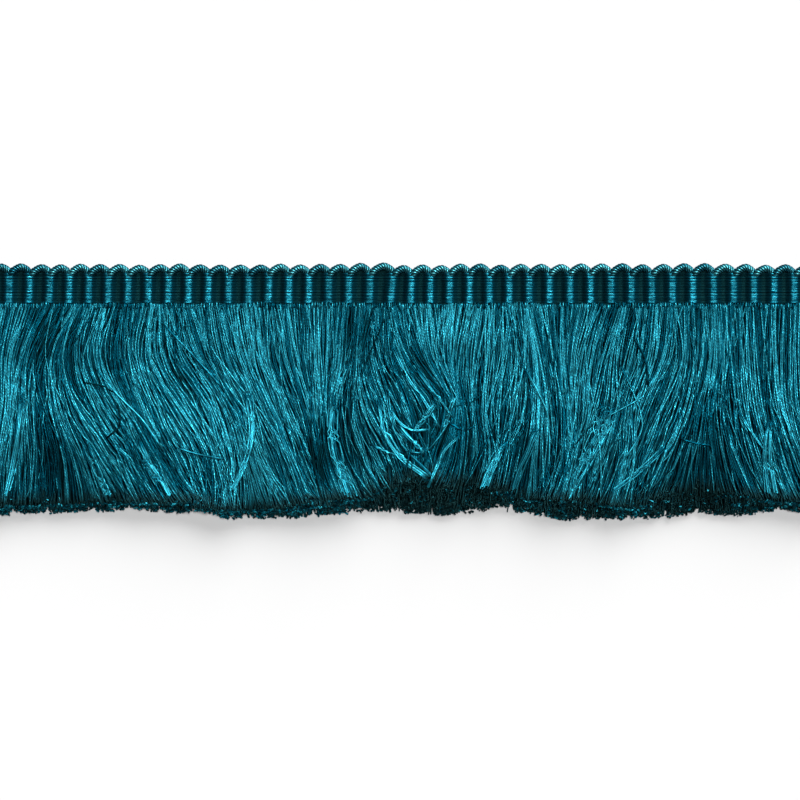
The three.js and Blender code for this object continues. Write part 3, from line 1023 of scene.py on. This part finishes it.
def yarn_recipe():
    whole = "yarns steps sides locks"
    real = "yarn_width lowest highest gather waver crossing ragged root_step darkest brightest cut_end"
    r = geometry_recipe("yarn_fall", whole, real)
    g = r.given
    line = r.get("GeometryNodeCurvePrimitiveLine", {"End": (0, 0, 1)})
    stepped = r.get("GeometryNodeResampleCurve", {"Curve": line, "Count": g.steps + 1})
    many, yarn = r.copies(stepped, g.yarns)
    down = r.on_curve("Factor")
    share = (yarn + r.chance(yarn, 1, 0.1, 0.9)) / g.yarns
    layer = g.lowest + (g.highest - g.lowest) * r.chance(yarn, 2)

    # across: the yarns of a lock draw together, and each yarn and each lock wavers
    lock = r.math("FLOOR", share * g.locks)
    centre = (lock + r.chance(lock, 3, 0.2, 0.8)) / g.locks
    pull = g.gather * r.ease(down, 0.3, 1.0) * r.chance(lock, 4)
    loose = 0.5 + 2.5 * r.math("POWER", r.chance(yarn, 12), 8.0)
    small = loose * r.noise(yarn * 0.73, down * 1.8)
    wide = r.noise(lock * 1.37 + 50.0, down * 1.4)
    swing = g.waver * r.ease(down, 0.0, 0.6) * (small + wide)
    across = r.within(r.blend(pull, share, centre) + swing, 0.001, 0.999)

    # down and deep: each yarn ends near the cut face and bobs a little between its neighbours
    short = cut_face(r, share, layer) + g.ragged * (0.4 * r.chance(yarn, 5) + r.chance(lock, 6))
    fall = down * (LONGEST_FALL - short)
    bob = r.noise(yarn * 1.9, down * 3.0) + r.chance(lock, 14, -1.0, 1.0)
    depth = r.within(layer + DEPTH_BOB * bob, 0.0, 1.02)
    x, y, z = between_sheets(r, across, fall, depth)

    # a few yarns cross the others, but none strays past the ends of the trim
    aside = r.chance(yarn, 13, -1.0, 1.0)
    aside = aside * r.math("ABSOLUTE", aside) + r.chance(lock, 15, -0.3, 0.3)
    room = r.ease(r.math("MINIMUM", share, 1.0 - share), 0.0, QUIET_END)
    x = x + g.crossing * aside * room * (down - r.chance(yarn, 16, 0.0, 0.8))

    # the roots step up and down in small groups
    group = r.math("FLOOR", x / ROOT_GROUP)
    step = r.chance(group, 7, -1.0, 1.0) * (g.root_step * r.ease(down, 0.0, 0.15, 1.0, 0.0))

    # what the silk reads
    length = (1.0 - short) * YARN_LENGTH
    cut_end = g.cut_end * r.math("MAXIMUM", 0.03, r.chance(yarn, 11, -0.1, 1.0))
    tone = 0.75 * r.chance(yarn, 8) + 0.25 * r.chance(lock, 9) + 0.1 * r.noise(share * 24.0, down * 1.5)
    # the charted swaths add painted shade and painted sheen to the tone
    tone = g.darkest + (g.brightest - g.darkest) * tone + on_sheet(r, "shade", across, fall)
    kept = r.keep(many, "along", down * length * PER_MM + yarn * 7.3)
    kept = r.keep(kept, "tip", r.ease((1.0 - down) * length, cut_end * 0.4, cut_end))
    kept = r.keep(kept, "tone", r.math("MAXIMUM", tone, 0.0))
    moved = r.move(kept, r.vector(x, y + step, z))
    r.spin(moved, g.yarn_width * r.chance(yarn, 10, 0.4, 0.6), g.sides)
    return r


YARN_WIDTH = 0.37 * MM
YARN_LAYERS = chart(
    "name yarns steps sides lowest highest locks gather waver crossing darkest brightest cut_end",
    ("yarns_loose", 170, 15, 4, 0.99, 1.02, 75, 0.1, 0.006, 10 * MM, 0.2, 1.15, 0.3 * MM),
    ("yarns_top", 760, 15, 4, 0.95, 1.0, 150, 0.6, 0.0025, 5 * MM, 0.3, 1.15, 0.4 * MM),
    ("yarns_upper", 1100, 14, 4, 0.82, 0.93, 110, 0.5, 0.0025, 5 * MM, 0.1, 0.8, 0.5 * MM),
    ("yarns_middle", 2400, 10, 3, 0.5, 0.82, 130, 0.4, 0.0025, 5 * MM, 0.05, 0.6, 0.8 * MM),
    ("yarns_lower", 2800, 6, 3, 0.0, 0.5, 170, 0.5, 0.0025, 3 * MM, 0.05, 0.6, 1.1 * MM),
)
YARN_SHARED = {"yarn_width": YARN_WIDTH, "ragged": 0.02, "root_step": 0.25 * MM, "material": yarn_silk}
FIRST_YARN_SEED = 100
recipe = yarn_recipe()
yarn_pieces = []
for number, layer in enumerate(YARN_LAYERS):
    seed = FIRST_YARN_SEED + number * 20
    yarn_pieces.append(made_by(recipe=recipe, start_mesh=sheets, seed=seed, **layer, **YARN_SHARED))

# %% [markdown]
# On top lie the few yarns that the eye picks out: strays that cross the rest, a tangle right of the middle
# and some bright tufts. Each is charted by the pixels of the photograph that it passes. A ray cast down on
# the top guide sheet says how high the brush stands there. A stray tucks in at both ends; a tuft grows out
# of the brush and its cut tip lies free. One tree turns a route into a lock of yarns that spreads or closes
# on the way.

# %% Laid yarns and tufts
LAID_COLUMNS = "tone yarns spread_mm close path_px"
STRAYS = chart(
    LAID_COLUMNS,
    (0.05, 1, 0.0, 1.0, [(88, 383), (96, 384), (104, 386), (110, 390)]),
    (0.05, 1, 0.0, 1.0, [(119, 408), (121, 418), (119, 428), (112, 434)]),
    (0.95, 2, 0.5, 1.0, [(166, 327), (184, 346), (204, 367), (221, 386)]),
    (0.8, 1, 0.0, 1.0, [(178, 448), (198, 454), (218, 458)]),
    (0.95, 2, 0.4, 0.5, [(521, 363), (538, 393), (548, 420), (548, 467), (545, 491)]),
    (0.15, 2, 0.3, 1.0, [(579, 440), (587, 430), (598, 421)]),
    (0.9, 1, 0.0, 1.0, [(598, 421), (617, 411), (639, 399)]),
    (0.3, 2, 0.4, 1.0, [(636, 342), (645, 360), (647, 381)]),
    (0.9, 2, 0.4, 1.0, [(622, 370), (633, 394), (641, 417), (639, 435), (616, 470)]),
    (0.6, 1, 0.0, 1.0, [(684, 440), (694, 443), (706, 445)]),
    (0.9, 3, 0.8, 0.6, [(740, 415), (752, 434), (766, 453)]),
    (0.85, 2, 0.5, 1.0, [(98, 372), (118, 396), (142, 420), (160, 446)]),
)
TANGLE = chart(
    LAID_COLUMNS,
    (1.0, 2, 0.5, 1.0, [(392, 346), (408, 378), (424, 400), (437, 424)]),
    (0.95, 3, 1.0, 0.6, [(420, 374), (432, 390), (442, 403), (450, 414)]),
    (0.95, 3, 0.5, 1.0, [(392, 412), (401, 424), (413, 430), (422, 430)]),
    (1.0, 6, 1.0, 0.9, [(414, 432), (420, 424), (426, 416), (431, 409)]),
    (1.0, 5, 0.8, 1.0, [(444, 428), (447, 418), (450, 411), (452, 404)]),
    (1.0, 3, 0.4, 1.0, [(408, 451), (424, 452), (437, 440), (448, 424)]),
    (1.0, 8, 1.6, 0.6, [(402, 428), (410, 437), (417, 444), (424, 452)]),
    (0.95, 4, 1.2, 0.6, [(388, 388), (394, 424), (408, 450), (430, 472)]),
    (1.0, 5, 1.4, 0.6, [(380, 402), (387, 436), (404, 460), (424, 475)]),
    (0.9, 3, 0.6, 0.7, [(374, 446), (388, 452), (396, 454), (406, 460)]),
    (1.0, 3, 0.5, 0.8, [(457, 438), (445, 450), (438, 464), (431, 480)]),
    (0.15, 1, 0.0, 1.0, [(480, 396), (472, 402), (464, 405), (454, 406)]),
    (0.75, 2, 0.6, 1.0, [(452, 424), (458, 428), (464, 430), (470, 428)]),
)
TUFTS = chart(
    LAID_COLUMNS,
    (1.0, 8, 1.8, 0.6, [(249, 396), (252, 430), (245, 462), (234, 487)]),
    (1.0, 18, 4.0, 0.4, [(606, 410), (597, 434), (583, 462), (567, 493)]),
    (0.95, 6, 1.3, 0.6, [(662, 450), (650, 461), (636, 474), (615, 489)]),
    (1.0, 10, 0.9, 3.0, [(768, 426), (766, 450), (767, 470), (770, 492)]),
    (1.0, 6, 1.0, 0.9, [(502, 446), (494, 460), (488, 472), (482, 487)]),
    (1.0, 4, 0.7, 0.9, [(500, 456), (495, 466), (491, 476), (487, 486)]),
    (0.95, 6, 1.6, 0.6, [(536, 432), (528, 452), (520, 470), (514, 488)]),
    (0.95, 8, 1.8, 1.6, [(335, 400), (333, 430), (338, 460), (350, 494)]),
    (1.0, 8, 2.2, 0.6, [(24, 400), (20, 432), (14, 464), (7, 494)]),
    (0.9, 7, 2.0, 0.8, [(140, 446), (150, 466), (160, 482), (168, 496)]),
    (0.9, 6, 1.6, 0.8, [(88, 450), (96, 468), (102, 482), (108, 495)]),
)
LAID_LIFT = 0.45 * MM
LAID_SIDES = 5
TUCK_REACH = 1.3 * MM
TUCK_DEPTH = 0.9 * MM
RAY_START = 50 * MM
USUAL_TOP = 3 * MM


def laid_route(row, surface):
    """The points that a row passes on the brush. Its start is tucked in, and so is the end of a stray."""
    route = []
    for px_x, px_y in row["path_px"]:
        x, y = place_of(px_x, px_y)
        y = max(y, FRINGE_TOP - YARN_LENGTH)
        hit = surface.ray_cast(Vector((x, y, RAY_START)), Vector((0, 0, -1)))[0]
        route.append(Vector((x, y, (hit.z if hit else USUAL_TOP) + LAID_LIFT)))
    sunk = Vector((0, 0, TUCK_DEPTH))
    start = route[0] + (route[0] - route[1]).normalized() * TUCK_REACH - sunk
    end = route[-1] + (route[-1] - route[-2]).normalized() * TUCK_REACH - sunk
    return [start, *route] if row in TUFTS else [start, *route, end]


def laid_routes():
    points = [corner.co for corner in sheets.vertices]
    surface = BVHTree.FromPolygons(points, [list(face.vertices) for face in sheets.polygons])
    rows = STRAYS + TANGLE + TUFTS
    return route_mesh(
        "laid_routes",
        [laid_route(row, surface) for row in rows],
        route=range(len(rows)),
        yarns=[row["yarns"] for row in rows],
        spread=[row["spread_mm"] * MM for row in rows],
        close=[row["close"] for row in rows],
        own_tone=[row["tone"] for row in rows],
    )


def laid_recipe():
    r = geometry_recipe("laid_locks", "steps", "yarn_width")
    g = r.given
    many, copy = r.copies(r.smooth_route(g.steps), r.stored("yarns"))
    yarn = copy + r.stored("route") * 37.0
    down = r.on_curve("Factor")
    at = r.parts(r.here())
    spread = r.stored("spread")
    x = at[0] + spread * r.blend(down, 1.0, r.stored("close")) * r.chance(yarn, 1, -0.5, 0.5)
    x = x + spread * 0.15 * r.noise(yarn * 1.3, down * 2.0)
    y = at[1] + spread * r.chance(yarn, 2, -0.3, 0.3)
    z = at[2] + g.yarn_width * r.chance(yarn, 3, -0.3, 0.9)
    moved = r.move(many, r.vector(x, y, z))
    kept = r.keep(moved, "along", r.on_curve("Length") * PER_MM + yarn * 5.3)
    grown = r.ease(down, 0.0, 0.25)
    own = r.stored("own_tone") * r.chance(yarn, 4, 0.6, 1.05)
    # painted shade: the tone is darker over the first quarter of the route, where the yarn comes out from
    # among the others
    kept = r.keep(kept, "tone", own * (0.3 + 0.7 * grown))
    radius = g.yarn_width * r.chance(yarn, 5, 0.4, 0.55)
    r.spin(kept, radius * (0.4 + 0.6 * grown), LAID_SIDES)
    return r


laid = made_by(
    "laid_yarns",
    laid_recipe(),
    laid_routes(),
    steps=18,
    yarn_width=0.4 * MM,
    seed=81,
    material=tuft_silk,
)

# %% [markdown]
# Where they are cut the yarns fray into short filaments that point every way. A second tree scatters them
# over the sloping cut face, most of them near black and a few still bright, and that gives the edge its
# grain. The near black is partly the dull cut fibres and partly a painted shade: ends that lie deeper in the
# brush are more often painted dark. The wide parts of the dark band have fewer bright ones, as in the
# photograph.

# %% Frayed ends
FRAY_SIDES = 4
FRAY_LONGEST_FALL = 0.996
TABLE_GAP = 0.25 * MM
WIDE_BAND = (2.2 * MM, 4.5 * MM)


def frayed_recipe():
    r = geometry_recipe("frayed_ends", "ends", "depth shortest longest end_width")
    g = r.given
    line = r.get("GeometryNodeCurvePrimitiveLine", {"End": (0, 0, 1)})
    many, end = r.copies(line, g.ends)
    across = r.chance(end, 1, 0.002, 0.998)
    layer = r.chance(end, 2)
    inside = r.chance(end, 3) * r.ease(layer, 0.3, 0.95, 1.0, 0.0)
    fall = FRAY_LONGEST_FALL - cut_face(r, across, layer) - g.depth * inside
    start = between_sheets(r, across, fall, layer)
    length = r.chance(end, 4, g.shortest, g.longest) * r.on_curve("Factor")
    lean = [r.chance(end, 5, -1.0, 1.0), r.chance(end, 6, -0.65, 0.4), r.chance(end, 7, -0.3, 0.9)]
    x, y, z = [from_here + length * share for from_here, share in zip(start, lean)]
    moved = r.move(many, r.vector(x, y, r.math("MAXIMUM", z, TABLE_GAP)))
    blotch = r.noise(across * 90.0, layer * 3.0)
    wide = r.ease(on_sheet(r, "band", across, BAND_READ_AT), *WIDE_BAND)
    # painted shade: the deeper an end lies in the brush, the more often it is painted near black
    bright = r.chance(end, 9) + 0.6 * blotch + 0.35 * layer - 0.6 * wide
    kept = r.keep(moved, "along", length * PER_MM + end * 3.1)
    kept = r.keep(kept, "tone", r.chance(end, 8, 0.2, 1.15))
    kept = r.keep(kept, "tip", r.ease(bright, 0.25, 0.75))
    r.spin(kept, g.end_width * r.chance(end, 10, 0.35, 0.6), FRAY_SIDES)
    return r


frayed = made_by(
    "frayed_ends",
    frayed_recipe(),
    sheets,
    ends=7500,
    depth=0.03,
    shortest=0.2 * MM,
    longest=0.75 * MM,
    end_width=0.38 * MM,
    seed=41,
    material=yarn_silk,
)

# %% [markdown]
# Under the yarns that are made one by one lie thousands more, packed too close to tell apart. A dark core
# stands for them: one closed body between the table and the upper yarns, with a ragged sloping face where
# they are cut. Its near-black finish is a painted shade, the yarns as they look deep in the brush.

# %% Core of the brush
CORE_STEP = 0.5 * MM
CORE_INSET = 3 * MM
CORE_FLOOR = 0.2 * MM
CORE_START = FRINGE_TOP + 0.3 * MM
CORE_SHARE = 0.45
CORE_ROOT_SHARE = 0.75
CORE_DOWNS = [0.0, 0.06, 0.2, 0.4, 0.6, 0.8, 0.92]
CORE_END = 0.985


def brush_core(material):
    count = int((LENGTH - CORE_INSET) / CORE_STEP)
    xs = (np.arange(count + 1) - count / 2) * CORE_STEP
    level = 0 * xs
    long = cut_length(xs / MM) * MM
    wave = 0.25 * MM * (np.sin(xs / (1.7 * MM)) + np.sin(xs / (0.61 * MM) + 1.3))
    lines = []
    for down in CORE_DOWNS:
        share = CORE_SHARE + (CORE_ROOT_SHARE - CORE_SHARE) * max(0.0, 1 - down / 0.1)
        height = share * eased(HEIGHTS_MM, "down", level + down, "top") * MM
        lines.append(np.column_stack([xs, CORE_START - down * long + wave * (down > 0.8), height]))
    lines.append(np.column_stack([xs, CORE_START - CORE_END * long + wave, level + CORE_FLOOR]))
    lines.append(np.column_stack([xs, level + CORE_START, level + CORE_FLOOR]))
    return closed_band("brush_core", lines, material)


# the core wears the near-black finish of painted shade
core = brush_core(painted_shade_finish)

# %% [markdown]
# At the heading each yarn bends over the last warp thread. The bends show as a row of small bright caps, a
# few side by side at one height and the next few a little higher or lower, as the weaver's picks left them.

# %% Root loops
ROOT_STEPS = 8
ROOT_SIDES = 5
ROOT_ROUTE_MM = chart(
    "up front",
    (0.0, 1.2),
    (0.18, 1.7),
    (0.1, 2.1),
    (-0.35, 2.35),
    (-1.1, 2.1),
)


def root_recipe():
    r = geometry_recipe("root_loops", "loops", "group length top loop_width group_step")
    g = r.given
    many, loop = r.copies(r.smooth_route(ROOT_STEPS), g.loops)
    _, at_y, at_z = r.parts(r.here())
    group = r.math("FLOOR", loop / g.group)
    share = (loop + r.chance(loop, 1, 0.2, 0.8)) / g.loops - 0.5
    x = share * g.length + r.chance(loop, 2, -0.12, 0.12) * at_y
    step = g.group_step * r.chance(group, 3, -1.0, 1.0) + g.loop_width * r.chance(loop, 4, -0.2, 0.2)
    z = at_z + g.loop_width * r.chance(loop, 5, -0.4, 0.4)
    moved = r.move(many, r.vector(x, at_y + g.top + step, z))
    kept = r.keep(moved, "along", r.on_curve("Length") * PER_MM + loop * 5.7)
    kept = r.keep(kept, "tone", r.chance(loop, 6, 0.25, 0.9) + r.chance(group, 7, -0.1, 0.2))
    kept = r.keep(kept, "tip", 1.0)
    r.spin(kept, g.loop_width * r.chance(loop, 8, 0.45, 0.6), ROOT_SIDES)
    return r


root_route = [(0.0, p["up"] * MM, p["front"] * MM) for p in ROOT_ROUTE_MM]
root_loops = made_by(
    "root_loops",
    root_recipe(),
    route_mesh("root_route", [root_route]),
    loops=344,
    group=4.5,
    length=LENGTH - 1 * MM,
    top=FRINGE_TOP + 0.05 * MM,
    loop_width=0.42 * MM,
    group_step=0.22 * MM,
    seed=61,
    material=yarn_silk,
)

# %% [markdown]
# Every piece rides on the trim's one body. The CAD solids that the new pieces
# stand for are hidden by name.

# %% Bodies and hidden parts
for piece in (body, front_warp, back_warp):
    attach(piece, "root")
    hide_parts("heading")
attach(loops, "root")
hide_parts("scallop_cord")
for piece in (*yarn_pieces, laid, frayed, core, root_loops):
    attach(piece, "root")
    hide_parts("fringe")
